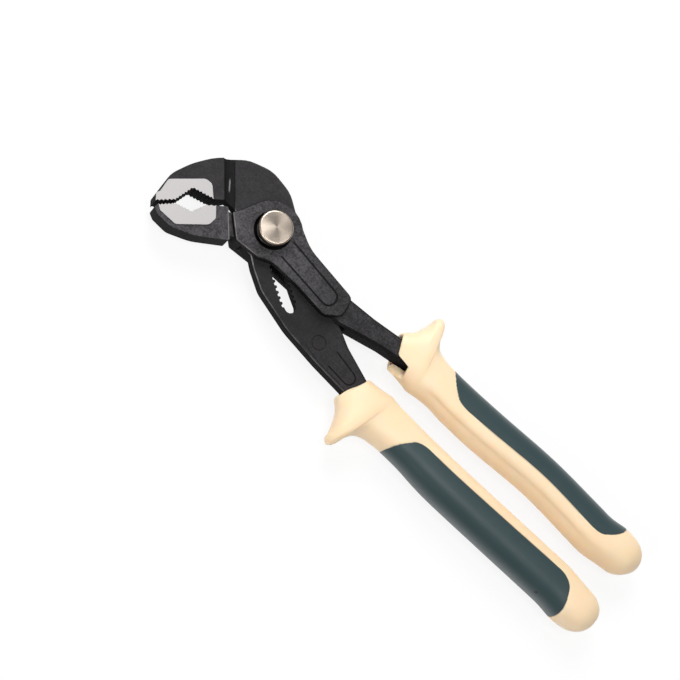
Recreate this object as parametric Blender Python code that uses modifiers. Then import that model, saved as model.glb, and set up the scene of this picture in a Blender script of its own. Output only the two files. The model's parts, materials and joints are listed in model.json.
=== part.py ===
# Push-button groove-joint pliers, 250 mm class: two forged halves in a box joint,
# a lock pin that engages a toothed slot, and two sleeves with soft inlays.
# Drawing frame in millimetres: pin axis at 0,0, +X towards the handles, +Z towards the button.
import bpy
import bmesh
import math
from mathutils import Vector

for old in list(bpy.data.objects):
    bpy.data.objects.remove(old, do_unlink=True)

MM = 0.001

# Gaps
CLEAR = 0.3            # between neighbouring pieces
SLIDE = 0.4            # between the slotted plate and the cheeks beside it
PIN_GAP = 0.35         # around the lock pin, in the slot and in the bores

# Thicknesses
PLATE_T = 5.8          # slotted plate that passes through the box joint
STEP = 0.2             # rise from the plate to its shank, each side
CHEEK_T = 3.1          # each cheek of the box joint
JAW_T = 9.2            # jaws beside the ground pads
PAD_RISE = 0.4         # ground pad above the jaw, each side
SHANK_T = 9.0          # shank of the button half
CHANNEL_T = 6.4        # web left in the channel between lower jaw and boss
WINDOW_T = PLATE_T + 2 * SLIDE
BOSS_T = WINDOW_T + 2 * CHEEK_T

# Box joint, as distances from the pin axis
HUB_R = 13.4           # round of the slotted plate inside the box
HUB_GAP = 0.5          # hub to the jaw-side wall of the window
WALL_DEG = 228.8       # direction from the pin to that wall
EDGE_D = 13.7          # pin to the handle-side edge of the slotted plate
EDGE_DEG = 62.5        # direction from the pin to that edge
EDGE_GAP = 1.6         # that edge to the window's other wall, for closing
BOSS_R = 13.2          # boss around the button

# Slot and lock pin
SLOT_R = 130.0         # radius of the slot's centre line
SLOT_DEG = -41.5       # its direction at the pin
NOTCH_DEG = 1.035      # turn about the slot's centre from notch to notch
NOTCH_STEPS = 12       # steps from the first lock position to the last
TIP_HALF = 2.45        # half the width between tooth tips
NOTCH_DEPTH = 0.8
TOOTH_Z = 0.2          # the teeth fill the slot above this height
PIN_TEETH = 1          # teeth on the pin each way from the middle one
PITCH = SLOT_R * math.radians(NOTCH_DEG)
NECK_R = TIP_HALF - PIN_GAP
STEM_R = TIP_HALF + NOTCH_DEPTH - PIN_GAP
BUSH_R = 5.9

# Button and spring
BUTTON_R = 7.0
BUTTON_T = 2.7
PRESS = 3.2            # button travel that frees the pin from the teeth
BUTTON_RISE = PRESS - CLEAR   # underside of the button above the boss, just below it when pressed
SINK_R = 8.2           # counterbore for the spring
SINK_D = 2.0
WIRE_D = 0.8
SPRING_FOOT_R = 6.9
SPRING_HEAD_R = 4.5
SPRING_TURNS = 3.0

# Handles
HANDLE_W = 10.0        # half the sleeve's width
HANDLE_T = 8.5         # half the sleeve's thickness
GUARD = 22.3           # reach of the finger guard from the sleeve's axis
SQUARE = 2.5           # 2 is an oval section, larger is squarer
LEFT_Y = -27.3         # axis of the slotted half's handle
RIGHT_Y = 3.2          # axis of the button half's handle
LEFT_GUARD_X = 74.6
RIGHT_GUARD_X = 78.2
LEFT_END_X = 209.8
RIGHT_END_X = 211.3
TANG_END_X = 150.0
INLAY_T = 1.6
LEFT_TURN = (104.5, 107.0, 113.0)   # how far each inlay wraps each way, at its front, middle and rear, in degrees
RIGHT_TURN = (99.8, 95.4, 99.8)
INLAY_NOSE = 3.25      # 2 is an oval end, larger is squarer
INLAY_FRONT = 19.2     # inlay's front end behind the guard
INLAY_REAR = 16.0      # inlay's rear end before the handle's end
AROUND = 24            # points around a sleeve


def collection(name):
    made = bpy.data.collections.new(name)
    bpy.context.scene.collection.children.link(made)
    return made


parts = collection("push_button_pliers")
cutters = collection("cutters")


def material(name, colour, rough, metal):
    made = bpy.data.materials.new(name)
    made.use_nodes = True
    shader = made.node_tree.nodes["Principled BSDF"]
    shader.inputs["Base Color"].default_value = (*colour, 1)
    shader.inputs["Roughness"].default_value = rough
    shader.inputs["Metallic"].default_value = metal
    made.diffuse_color = (*colour, 1)
    return made


BLACK = material("black_forged_steel", (0.035, 0.036, 0.038), 0.5, 0.8)
NICKEL = material("nickel_button", (0.78, 0.73, 0.66), 0.28, 1.0)
STEEL = material("bare_steel", (0.55, 0.55, 0.56), 0.35, 1.0)
CREAM = material("cream_sleeve", (0.93, 0.80, 0.60), 0.45, 0.0)
GREEN = material("dark_green_inlay", (0.052, 0.075, 0.079), 0.6, 0.0)


# Outlines
def rounded(corners, steps=3):
    # Corners as (x, y, radius), walked in order and rounded.
    out = []
    for i, (x, y, r) in enumerate(corners):
        here = Vector((x, y))
        back = Vector(corners[i - 1][:2]) - here
        on = Vector(corners[(i + 1) % len(corners)][:2]) - here
        if r <= 0:
            out.append((x, y))
            continue
        half = back.angle(on) / 2
        back.normalize()
        on.normalize()
        middle = here + (back + on).normalized() * (r / math.sin(half))
        start = here + back * (r / math.tan(half)) - middle
        end = here + on * (r / math.tan(half)) - middle
        first = math.atan2(start.y, start.x)
        turn = (math.atan2(end.y, end.x) - first + math.pi) % (2 * math.pi) - math.pi
        for k in range(steps + 1):
            a = first + turn * k / steps
            out.append((middle.x + r * math.cos(a), middle.y + r * math.sin(a)))
    return out


def grown(corners, by):
    # The same corners with every side moved out, for an outline walked anticlockwise.
    out = []
    for i, (x, y, r) in enumerate(corners):
        a = (Vector((x, y)) - Vector(corners[i - 1][:2])).normalized()
        b = (Vector(corners[(i + 1) % len(corners)][:2]) - Vector((x, y))).normalized()
        na = Vector((a.y, -a.x))
        nb = Vector((b.y, -b.x))
        move = (na + nb) * (by / (1 + na.dot(nb)))
        out.append((x + move.x, y + move.y, r + by if r else 0))
    return out


def serrated(start, end, count, depth):
    # Teeth along a straight edge, cut to the left of the walk.
    a = Vector(start)
    run = (Vector(end) - a) / count
    side = Vector((-run.y, run.x)).normalized() * depth
    out = []
    for i in range(count):
        tip = a + run * i
        low = a + run * (i + 0.5) + side
        out += [(tip.x, tip.y, 0), (low.x, low.y, 0)]
    return out


def arc(radius, first, last, count):
    return [(radius * math.cos(math.radians(first + (last - first) * i / count)),
             radius * math.sin(math.radians(first + (last - first) * i / count)), 0)
            for i in range(count + 1)]


def from_pin(distance, degrees, along):
    # A point on a line at a distance from the pin, stepped along the line clockwise from the foot.
    a = math.radians(degrees)
    return (distance * math.cos(a) + along * math.sin(a), distance * math.sin(a) - along * math.cos(a))


def along_slot(s, left):
    # A point at length s on the slot's centre line, moved to the left of its direction.
    a = math.radians(SLOT_DEG)
    b = a - math.pi / 2 + s / SLOT_R
    return (-SLOT_R * math.sin(a) + (SLOT_R - left) * math.cos(b),
            SLOT_R * math.cos(a) + (SLOT_R - left) * math.sin(b))


def tooth_edge(first, last, tip, ease):
    # Length and half width along one toothed edge. ease narrows the wide places.
    out = []
    for k in range(first, last + 1):
        for place, wide in ((-0.32 + ease, 0), (-0.18 + ease, 1), (0.18 - ease, 1), (0.32 - ease, 0)):
            out.append(((k + place) * PITCH, tip + wide * NOTCH_DEPTH))
    return out


# Solids
def keep(ob, mat, parent):
    parts.objects.link(ob)
    ob.data.materials.clear()
    ob.data.materials.append(mat)
    ob.parent = parent
    return ob


def tool(ob):
    cutters.objects.link(ob)
    ob.hide_render = True
    ob.display_type = "WIRE"
    ob.parent = pliers
    return ob


def meshed(name, curve, height=0.0):
    # A curve as a closed mesh object.
    source = bpy.data.objects.new(name + "_curve", curve)
    cutters.objects.link(source)
    source.location.z = height * MM
    graph = bpy.context.evaluated_depsgraph_get()
    mesh = bpy.data.meshes.new_from_object(source.evaluated_get(graph))
    ob = bpy.data.objects.new(name, mesh)
    bm = bmesh.new()
    bm.from_mesh(mesh)
    bm.transform(source.matrix_world)
    bmesh.ops.remove_doubles(bm, verts=bm.verts, dist=1e-6)
    bmesh.ops.recalc_face_normals(bm, faces=bm.faces)
    bm.to_mesh(mesh)
    bm.free()
    bpy.data.objects.remove(source, do_unlink=True)
    return ob


def slab(name, outlines, low, high, chamfer=0.0):
    # One outline, or an outline with holes, filled and raised from low to high.
    curve = bpy.data.curves.new(name, "CURVE")
    curve.dimensions = "2D"
    curve.fill_mode = "BOTH"
    curve.extrude = ((high - low) / 2 - chamfer) * MM
    curve.bevel_depth = chamfer * MM
    curve.bevel_resolution = 0
    curve.offset = -chamfer * MM
    for outline in outlines:
        spline = curve.splines.new("POLY")
        spline.points.add(len(outline) - 1)
        for point, place in zip(spline.points, outline):
            point.co = (place[0] * MM, place[1] * MM, 0, 1)
        spline.use_cyclic_u = True
    return meshed(name, curve, (low + high) / 2)


def drum(name, radius, low, high, sides=40):
    bm = bmesh.new()
    bmesh.ops.create_cone(bm, cap_ends=True, segments=sides, radius1=radius * MM, radius2=radius * MM,
                          depth=(high - low) * MM)
    bmesh.ops.translate(bm, verts=bm.verts, vec=(0, 0, (low + high) / 2 * MM))
    mesh = bpy.data.meshes.new(name)
    bm.to_mesh(mesh)
    bm.free()
    return bpy.data.objects.new(name, mesh)


def wire(name, path, radius, height, around):
    # A round wire along a flat path.
    curve = bpy.data.curves.new(name, "CURVE")
    curve.dimensions = "3D"
    curve.bevel_depth = radius * MM
    curve.bevel_resolution = around
    curve.use_fill_caps = True
    spline = curve.splines.new("POLY")
    spline.points.add(len(path) - 1)
    for point, place in zip(spline.points, path):
        point.co = (place[0] * MM, place[1] * MM, height * MM, 1)
    return meshed(name, curve)


def turned(name, profile, steps=40):
    # A profile of (radius, height) down the outer side, from the axis or round to its start.
    bm = bmesh.new()
    ends = profile[1:] if profile[0] == profile[-1] else profile
    verts = [bm.verts.new((r * MM, 0, z * MM)) for r, z in ends]
    pairs = zip(verts, verts[1:] + verts[:1]) if ends is not profile else zip(verts, verts[1:])
    for a, b in pairs:
        bm.edges.new((a, b))
    mesh = bpy.data.meshes.new(name)
    bm.to_mesh(mesh)
    bm.free()
    ob = bpy.data.objects.new(name, mesh)
    screw = ob.modifiers.new("turn", "SCREW")
    screw.steps = steps
    screw.render_steps = steps
    screw.use_merge_vertices = True
    screw.merge_threshold = 0.00001
    screw.use_smooth_shade = False
    return ob


def boolean(ob, other, operation):
    step = ob.modifiers.new(other.name, "BOOLEAN")
    step.operation = operation
    step.solver = "EXACT"
    step.object = other


def join(ob, other):
    boolean(ob, tool(other), "UNION")


def cut(ob, other):
    boolean(ob, tool(other), "DIFFERENCE")


def empty(name, parent, place):
    made = bpy.data.objects.new(name, None)
    made.empty_display_size = 0.01
    parts.objects.link(made)
    made.parent = parent
    made.location = [c * MM for c in place]
    return made


# Frames on the joints' axes
slot_centre = along_slot(0, SLOT_R)
pliers = empty("pliers", None, (0, 0, 0))
slotted_lever = empty("slotted_lever", pliers, (0, 0, 0))
groove_shift = empty("groove_shift", pliers, (*slot_centre, 0))
pin_seat = empty("pin_seat", groove_shift, (-slot_centre[0], -slot_centre[1], 0))
button_lever = empty("button_lever", pin_seat, (0, 0, 0))
button_press = empty("button_press", pin_seat, (0, 0, 0))

# Heights
plate_z = PLATE_T / 2
window_z = WINDOW_T / 2
boss_z = BOSS_T / 2
jaw_z = JAW_T / 2
pad_z = jaw_z + PAD_RISE
shank_z = SHANK_T / 2
tang_z = plate_z + STEP
sink_z = boss_z - SINK_D
FAR = 30.0

# Jaws: grip faces with a pipe notch, serrated
upper_jaw = [(-20.4, -1.6, 1.2), (-31.5, 13.0, 1.5), (-37.7, 6.8, 30), (-42.8, -2.2, 30),
             (-46.0, -11.5, 12), (-44.8, -22.5, 1.2)]
upper_jaw += serrated((-42.9, -24.9), (-37.3, -18.8), 5, 0.5)
upper_jaw += serrated((-37.3, -18.8), (-35.5, -9.9), 6, 0.5)
upper_jaw += serrated((-35.5, -9.9), (-26.6, -7.3), 6, 0.5) + [(-26.6, -7.3, 0)]
upper_pad = [(-46.4, -24.6, 0), (-44.3, -20.6, 1), (-45.2, -14.2, 2), (-34.2, -2.8, 3), (-31.0, -2.6, 2),
             (-26.2, -7.4, 0), (-24.0, -10.0, 0), (-33.0, -14.0, 0), (-36.0, -21.0, 0), (-41.0, -27.0, 0)]
lower_jaw = serrated((-23.9, -8.4), (-27.0, -11.0), 2, 0.4) + serrated((-27.0, -11.0), (-29.6, -17.6), 5, 0.4)
lower_jaw += serrated((-29.6, -17.6), (-36.5, -19.7), 5, 0.4)
lower_jaw += serrated((-36.5, -19.7), (-41.2, -25.0), 5, 0.5)
lower_jaw += [(-41.2, -25.0, 0), (-41.7, -26.9, 0.8), (-38.8, -28.4, 1.5), (-31.5, -28.6, 6),
              (-22.0, -24.4, 25), (-10.3, -15.5, 0.8), (-20.0, -4.9, 0.8)]
lower_pad = [(-42.5, -24.2, 0), (-39.0, -26.6, 1), (-30.7, -26.5, 2), (-20.6, -16.6, 2.5), (-20.4, -12.6, 2),
             (-23.7, -8.6, 0), (-25.0, -6.0, 0), (-33.0, -14.0, 0)]
field = [(-60, -45), (0, -45), (0, 30), (-60, 30)]


def jaw(name, outline, pad):
    # A jaw at the pads' height, lowered around its pad on both sides.
    ob = slab(name, [rounded(outline)], -pad_z, pad_z)
    cut(ob, slab(name + "_face", [field, rounded(pad)], jaw_z, FAR))
    cut(ob, slab(name + "_back", [field, rounded(pad)], -FAR, -jaw_z))
    return ob


# Slotted half: upper jaw, round head, slotted plate and tang
tang_left = [(TANG_END_X, LEFT_Y - 3.2, 2.5), (TANG_END_X, LEFT_Y + 3.2, 2.5), (82, LEFT_Y + 4.6, 8),
             (68.5, -18.0, 8)]
plate = [(-28, -4, 0), (-19.2, -3.0, 0.8), (-16.9, -3.6, 0.8)]
plate += arc(HUB_R, 200, 270, 9)
plate += [(4.4, -16.7, 6), (13.0, -21.7, 12), (31.6, -26.5, 30), (49.8, -28.5, 30), (67.0, -29.5, 10),
          (82, LEFT_Y - 4.4, 8)]
plate += tang_left
plate += [(*from_pin(EDGE_D, EDGE_DEG, 55.5), 12), (*from_pin(EDGE_D, EDGE_DEG, -2.0), 6),
          (-5.0, 19.6, 14), (-16.5, 21.4, 14), (-27.0, 17.4, 14), (-33.4, 11.0, 0), (-37, 0, 0)]
slotted_half = keep(slab("slotted_half", [rounded(plate)], -plate_z, plate_z, 0.7), BLACK, slotted_lever)
join(slotted_half, jaw("upper_jaw", upper_jaw, upper_pad))
for side in (1, -1):
    # Round channel between the jaw and the head
    channel = wire("jaw_channel", [(-18.1, -4.9), (-35.1, 14.8)], 3.4, side * (plate_z + 2.6), 4)
    cut(slotted_half, channel)
face = [(38.5, -25.0, 3), (50.0, -27.2, 20), (68.0, -28.3, 10), (86, LEFT_Y - 3.0, 1), (86, LEFT_Y + 3.0, 1),
        (69.0, -19.6, 8), (56.5, -15.0, 8), (47.0, -11.0, 2)]
join(slotted_half, slab("shank_face", [rounded(face)], -tang_z, tang_z))

start_s = -(PIN_TEETH + 0.7) * PITCH
end_s = (NOTCH_STEPS + PIN_TEETH + 0.7) * PITCH


def slot_outline(edge):
    # Both edges of the slot with round ends, from one edge.
    out = [along_slot(s, h) for s, h in edge]
    r = edge[-1][1]
    for d in range(0, 181, 30):
        a = math.radians(d)
        out.append(along_slot(end_s + r * math.sin(a), r * math.cos(a)))
    out += [along_slot(s, -h) for s, h in reversed(edge)]
    for d in range(0, 181, 30):
        a = math.radians(d)
        out.append(along_slot(start_s - r * math.sin(a), -r * math.cos(a)))
    return out


teeth = tooth_edge(-PIN_TEETH, NOTCH_STEPS + PIN_TEETH, TIP_HALF, 0)
cut(slotted_half, slab("toothed_slot", [slot_outline(teeth)], TOOTH_Z - 0.5, FAR))
wide = TIP_HALF + NOTCH_DEPTH + 0.05
floor = [(start_s + (end_s - start_s) * i / 8, wide) for i in range(1, 8)]
cut(slotted_half, slab("plain_slot", [slot_outline(floor)], -FAR, TOOTH_Z))

# Shallow marks on the slotted half's shank: a ring and a lined panel
ring = turned("ring_mark", [(2.8, tang_z + 1), (3.3, tang_z + 1), (3.3, tang_z - 0.25), (2.8, tang_z - 0.25),
                            (2.8, tang_z + 1)], 32)
ring.location = (44.9 * MM, -21.0 * MM, 0)
cut(slotted_half, ring)
panel = rounded([(53.0, -18.4, 0), (66.5, -21.0, 2.6), (66.5, -26.4, 2.6), (54.0, -25.6, 0)])
cut(slotted_half, wire("tang_panel", panel, 0.3, tang_z, 0))

# Button half: lower jaw, boss with two cheeks, shank and tang
boss = [(-17.2, -5.9, 1.0), (-8.4, -13.8, 1.0), (3.0, -12.8, 4), (8.6, -10.1, 5), (22.0, -10.0, 30),
        (38.8, -11.5, 5), (44.8, -7.0, 4), (43.2, 2.4, 3), (16.5, 5.7, 20)]
boss += arc(BOSS_R, 47, 160, 10) + [(-14.9, -1.8, 2)]
shank = [(32.0, -8.0, 0), (45.0, -9.7, 3), (51.0, -8.0, 8), (66.0, -4.0, 14), (82.0, RIGHT_Y - 4.5, 14),
         (TANG_END_X, RIGHT_Y - 3.0, 2.5), (TANG_END_X, RIGHT_Y + 3.0, 2.5), (84.0, RIGHT_Y + 3.4, 6),
         (68.9, 5.3, 12), (55.9, 3.4, 20), (32.0, 1.6, 0)]
web = [(-19.4, -6.5), (-13.5, -15.0), (-9.0, -11.8), (-15.9, -4.9)]
button_half = keep(slab("button_half", [rounded(boss)], -boss_z, boss_z, 0.4), BLACK, button_lever)
join(button_half, slab("channel_web", [web], -CHANNEL_T / 2, CHANNEL_T / 2))
join(button_half, jaw("lower_jaw", lower_jaw, lower_pad))
join(button_half, slab("shank", [rounded(shank)], -shank_z, shank_z, 1.0))
window = [from_pin(HUB_R + HUB_GAP, WALL_DEG, 16), (-21, 16), (6, 18),
          from_pin(EDGE_D + EDGE_GAP, EDGE_DEG, 0), from_pin(EDGE_D + EDGE_GAP, EDGE_DEG, 52), (53, -24), (2, -24),
          from_pin(HUB_R + HUB_GAP, WALL_DEG, -14)]
cut(button_half, slab("window", [window], -window_z, window_z))
cut(button_half, drum("button_sink", SINK_R, sink_z, FAR))
cut(button_half, drum("neck_bore", NECK_R + PIN_GAP, 0, FAR, 32))
cut(button_half, drum("bush_bore", BUSH_R + CLEAR, -FAR, 0))
panel = rounded([(9.4, 2.6, 0), (39.2, -1.2, 3.4), (38.2, -8.6, 3.4), (9.4, -5.7, 0)])
cut(button_half, wire("boss_panel", panel, 0.45, boss_z, 0))

# Lock pin: thin neck, toothed block in the slot, thick stem in the bush
block_low = TOOTH_Z + 0.2
block_high = window_z - 0.2
neck_top = boss_z + BUTTON_RISE + BUTTON_T - 1.5
stem_low = -boss_z + 1.4
lock_pin = keep(turned("lock_pin", [(0, neck_top), (NECK_R - 0.3, neck_top), (NECK_R, neck_top - 0.3),
                                    (NECK_R, block_low - 0.3), (STEM_R, block_low - 0.3),
                                    (STEM_R, stem_low + 0.4), (STEM_R - 0.4, stem_low), (0, stem_low)], 32),
                STEEL, button_press)
edge = [(-(PIN_TEETH + 0.5) * PITCH, NECK_R)] + tooth_edge(-PIN_TEETH, PIN_TEETH, NECK_R, 0.08)
edge += [((PIN_TEETH + 0.5) * PITCH, NECK_R)]
block = [along_slot(s, h) for s, h in edge] + [along_slot(s, -h) for s, h in reversed(edge)]
join(lock_pin, slab("pin_block", [block], block_low, block_high))

# Guide bush in the back cheek
bush_top = -window_z - CLEAR
guide_bush = keep(turned("guide_bush", [(STEM_R + PIN_GAP, bush_top), (BUSH_R, bush_top), (BUSH_R, -boss_z + 0.5),
                                        (BUSH_R - 0.5, -boss_z), (STEM_R + PIN_GAP, -boss_z),
                                        (STEM_R + PIN_GAP, bush_top)], 40), STEEL, button_lever)

# Push button on the pin's neck
button_low = boss_z + BUTTON_RISE
button_top = button_low + BUTTON_T
bore_top = neck_top + CLEAR
push_button = keep(turned("push_button", [(0, button_top), (BUTTON_R * 0.72, button_top - 0.08),
                                          (BUTTON_R * 0.9, button_top - 0.35), (BUTTON_R, button_top - 0.95),
                                          (BUTTON_R, button_low + 0.3), (BUTTON_R - 0.3, button_low),
                                          (NECK_R + CLEAR, button_low), (NECK_R + CLEAR, bore_top), (0, bore_top)], 48),
                   NICKEL, button_press)

# Return spring: a conical coil between the counterbore's floor and the button
spring_low = sink_z + CLEAR + WIRE_D / 2
spring_high = button_low - CLEAR - WIRE_D / 2
coil = []
per_turn = 10
count = int(SPRING_TURNS * per_turn)
for i in range(count + 1):
    t = i / count
    r = SPRING_FOOT_R + (SPRING_HEAD_R - SPRING_FOOT_R) * t
    a = 2 * math.pi * SPRING_TURNS * t
    coil.append(Vector((r * math.cos(a), r * math.sin(a), spring_low + (spring_high - spring_low) * t)))
coil.insert(0, coil[0] + (coil[0] - coil[1]).normalized() * WIRE_D)
coil.append(coil[-1] + (coil[-1] - coil[-2]).normalized() * WIRE_D)
least = min((a - b).length for i, a in enumerate(coil) for b in coil[i + per_turn // 2:]) - WIRE_D
print("return spring, least gap to itself in mm:", round(least, 3))
curve = bpy.data.curves.new("return_spring", "CURVE")
curve.dimensions = "3D"
curve.bevel_depth = WIRE_D / 2 * MM
curve.bevel_resolution = 1
curve.use_fill_caps = True
spline = curve.splines.new("POLY")
spline.points.add(len(coil) - 1)
for point, place in zip(spline.points, coil):
    point.co = (*(place * MM), 1)
return_spring = keep(meshed("return_spring", curve), STEEL, pin_seat)


# Sleeves: lofted from the mouth over the finger guard to the round end.
# Body rows: x behind the guard, or before the end where negative, then shares as in stations.
left = {"guard": LEFT_GUARD_X, "end": LEFT_END_X, "axis": LEFT_Y, "side": -1, "turns": LEFT_TURN,
        "body": [(28.0, 1.00, 0.88, 0.93), (46.0, 0.96, 1.02, 1.0), (75.0, 0.98, 1.03, 1.0),
                 (-32.0, 1.00, 1.02, 1.0), (-23.0, 0.99, 1.03, 1.0)], "cap": (0.88, 1.12)}
right = {"guard": RIGHT_GUARD_X, "end": RIGHT_END_X, "axis": RIGHT_Y, "side": 1, "turns": RIGHT_TURN,
         "body": [(28.0, 1.10, 0.86, 0.93), (46.0, 1.09, 0.89, 1.0), (75.0, 0.93, 1.00, 1.0),
                  (-32.0, 1.06, 0.91, 1.0), (-23.0, 1.11, 0.875, 1.0)], "cap": (1.06, 0.99)}


def stations(hand):
    # Inner x, outer x, then inner, outer and thickness as shares of the body's half sizes.
    reach = GUARD / HANDLE_W
    rows = [(-3.4, -8.8, 1.02, 0.62, 0.72), (0.8, -5.2, 1.04, 1.00, 0.83), (5.2, -2.7, 1.10, reach * 0.76, 0.93),
            (6.6, -2.0, 1.13, reach * 0.93, 0.96), (8.0, 0.0, 1.16, reach, 0.965),
            (9.4, 2.1, 1.14, reach * 0.93, 0.935), (10.8, 3.3, 1.12, reach * 0.75, 0.895),
            (14.0, 7.0, 1.07, 1.11, 0.875), (20.0, 15.0, 1.04, 0.90, 0.885)]
    out = [(hand["guard"] + a, hand["guard"] + b, c, d, e) for a, b, c, d, e in rows]
    for place, inner, outer, thick in hand["body"]:
        x = place + (hand["guard"] if place > 0 else hand["end"])
        out.append((x, x, inner, outer, thick))
    for back in (14.0, 7.0, 3.0, 0.9, 0.0):
        share = max(1 - (1 - back / 14.0) ** 2.4, 0.02) ** (1 / 2.4)
        x = hand["end"] - back
        out.append((x, x, hand["cap"][0] * share, hand["cap"][1] * share, share))
    return out


def eased(rows, u):
    # A smooth curve through the rows at place u.
    i = min(int(u), len(rows) - 2)
    f = u - i
    a, b, c, d = rows[max(i - 1, 0)], rows[i], rows[i + 1], rows[min(i + 2, len(rows) - 1)]
    out = []
    for p, q, r, s in zip(a, b, c, d):
        out.append(q + 0.5 * f * (r - p + f * (2 * p - 5 * q + 4 * r - s + f * (3 * (q - r) + s - p))))
    return out


def skin(hand, row, turn, out):
    # A point on the sleeve: turn 0 is the outer side, out is the height above the surface.
    inner_x, outer_x, inner, outer, thick = row
    inner = inner * HANDLE_W + out
    outer = outer * HANDLE_W + out
    c = math.copysign(abs(math.cos(turn)) ** (2 / SQUARE), math.cos(turn))
    s = math.copysign(abs(math.sin(turn)) ** (2 / SQUARE), math.sin(turn))
    x = (inner_x + outer_x) / 2 + (outer_x - inner_x) / 2 * c
    y = (outer - inner) / 2 + (outer + inner) / 2 * c
    return (x * MM, (hand["axis"] + hand["side"] * y) * MM, (thick * HANDLE_T + out) * s * MM)


def sleeve(name, hand, parent):
    rows = stations(hand)
    places = [i / 2 for i in range(2 * len(rows) - 1)]
    bm = bmesh.new()
    rings = []
    for u in places:
        row = eased(rows, u)
        rings.append([bm.verts.new(skin(hand, row, 2 * math.pi * k / AROUND, 0)) for k in range(AROUND)])
    for a, b in zip(rings, rings[1:]):
        for k in range(AROUND):
            bm.faces.new((a[k - 1], a[k], b[k], b[k - 1]))
    bm.faces.new(rings[0])
    bm.faces.new(rings[-1])
    bmesh.ops.recalc_face_normals(bm, faces=bm.faces)
    mesh = bpy.data.meshes.new(name)
    bm.to_mesh(mesh)
    bm.free()
    return keep(bpy.data.objects.new(name, mesh), CREAM, parent)


def inlay(name, hand, grow, out, thick):
    # A sheet on the sleeve's outer side with round ends, thickened inwards.
    rows = stations(hand)
    front, middle, rear = [math.radians(turn) + grow / HANDLE_W for turn in hand["turns"]]
    fine = [i / 20 for i in range(20 * len(rows) - 19)]
    xs = [eased(rows, u)[1] for u in fine]
    bm = bmesh.new()
    lines = []
    strips = 12
    steps = 22
    for j in range(strips + 1):
        share = math.sin(math.radians(86) * (2 * j / strips - 1))
        bow = 1 - (1 - abs(share) ** INLAY_NOSE) ** (1 / INLAY_NOSE)
        first = hand["guard"] + INLAY_FRONT + 19 * bow - grow
        last = hand["end"] - INLAY_REAR - 16 * bow + grow
        line = []
        for i in range(steps + 1):
            f = i / steps
            x = first + (last - first) * (f - 0.04 * math.sin(2 * math.pi * f))
            k = next((n for n in range(1, len(xs)) if xs[n] >= x), len(xs) - 1)
            u = fine[k - 1] + (fine[k] - fine[k - 1]) * (x - xs[k - 1]) / (xs[k] - xs[k - 1])
            wrap = front * (1 - f) * (1 - 2 * f) + middle * 4 * f * (1 - f) + rear * f * (2 * f - 1)
            line.append(bm.verts.new(skin(hand, eased(rows, u), share * wrap, out)))
        lines.append(line)
    for a, b in zip(lines, lines[1:]):
        for i in range(steps):
            bm.faces.new((a[i], a[i + 1], b[i + 1], b[i]) if hand["side"] < 0 else (a[i], b[i], b[i + 1], a[i + 1]))
    mesh = bpy.data.meshes.new(name)
    bm.to_mesh(mesh)
    bm.free()
    ob = bpy.data.objects.new(name, mesh)
    shell = ob.modifiers.new("thickness", "SOLIDIFY")
    shell.thickness = thick * MM
    shell.offset = -1
    shell.use_even_offset = True
    return ob


def handle(name, hand, tang, tang_half, parent):
    grip = sleeve(name + "_sleeve", hand, parent)
    cut(grip, slab(name + "_socket", [rounded(grown(tang, CLEAR))], -tang_half - CLEAR, tang_half + CLEAR))
    cut(grip, inlay(name + "_recess", hand, CLEAR, 1.0, INLAY_T + CLEAR + 1.0))
    keep(inlay(name + "_inlay", hand, 0, 0, INLAY_T), GREEN, parent)
    return grip


left_tang = [(40.0, -27.7, 0), (49.8, -28.5, 30), (67.0, -29.5, 10), (82, LEFT_Y - 4.4, 8)] + tang_left
left_tang += [(*from_pin(EDGE_D, EDGE_DEG, 55.5), 12), (*from_pin(EDGE_D, EDGE_DEG, 40.0), 0)]
handle("left", left, left_tang, tang_z, slotted_lever)
right_sleeve = handle("right", right, shank, shank_z, button_lever)

# The right sleeve's mouth steps back on its inner side and bares the shank's wall, under an overhanging lip
bare = [(RIGHT_GUARD_X - 18, RIGHT_Y - 30, 0), (RIGHT_GUARD_X + 3.4, RIGHT_Y - 30, 0),
        (RIGHT_GUARD_X + 3.4, RIGHT_Y - 4.0, 1.2), (RIGHT_GUARD_X - 18, RIGHT_Y - 4.0, 0)]
cut(right_sleeve, slab("right_side_mouth", [rounded(bare)], -shank_z - CLEAR, shank_z + CLEAR))
lip = [(RIGHT_GUARD_X - 18, RIGHT_Y - 30, 0), (RIGHT_GUARD_X + 2.2, RIGHT_Y - 30, 0),
       (RIGHT_GUARD_X + 2.2, RIGHT_Y - 6.4, 0.8), (RIGHT_GUARD_X - 18, RIGHT_Y - 3.6, 0)]
cut(right_sleeve, slab("right_top_mouth", [rounded(lip)], 0, FAR))

# Round pieces shaded smooth
for ob in (push_button, lock_pin, guide_bush, return_spring):
    ob.data.shade_smooth()

# Origin at the middle of the box, on the surface that the pliers lie on
bpy.context.view_layer.update()
graph = bpy.context.evaluated_depsgraph_get()
low = Vector((1, 1, 1))
high = Vector((-1, -1, -1))
for ob in parts.objects:
    if ob.type == "MESH":
        seen = ob.evaluated_get(graph)
        for corner in seen.bound_box:
            place = seen.matrix_world @ Vector(corner)
            low = Vector(map(min, low, place))
            high = Vector(map(max, high, place))
pliers.location = (-(low.x + high.x) / 2, -(low.y + high.y) / 2, -low.z)
print("box in mm:", [round(c * 1000, 2) for c in high - low])
print("pin axis in mm:", [round(c * 1000, 4) for c in pliers.location])
print("slot centre in mm:", [round(c * 1000, 4) for c in pliers.location + groove_shift.location])
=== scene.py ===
import json
import math

import bmesh
import bpy
import numpy as np
from mathutils import Matrix, Vector


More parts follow.
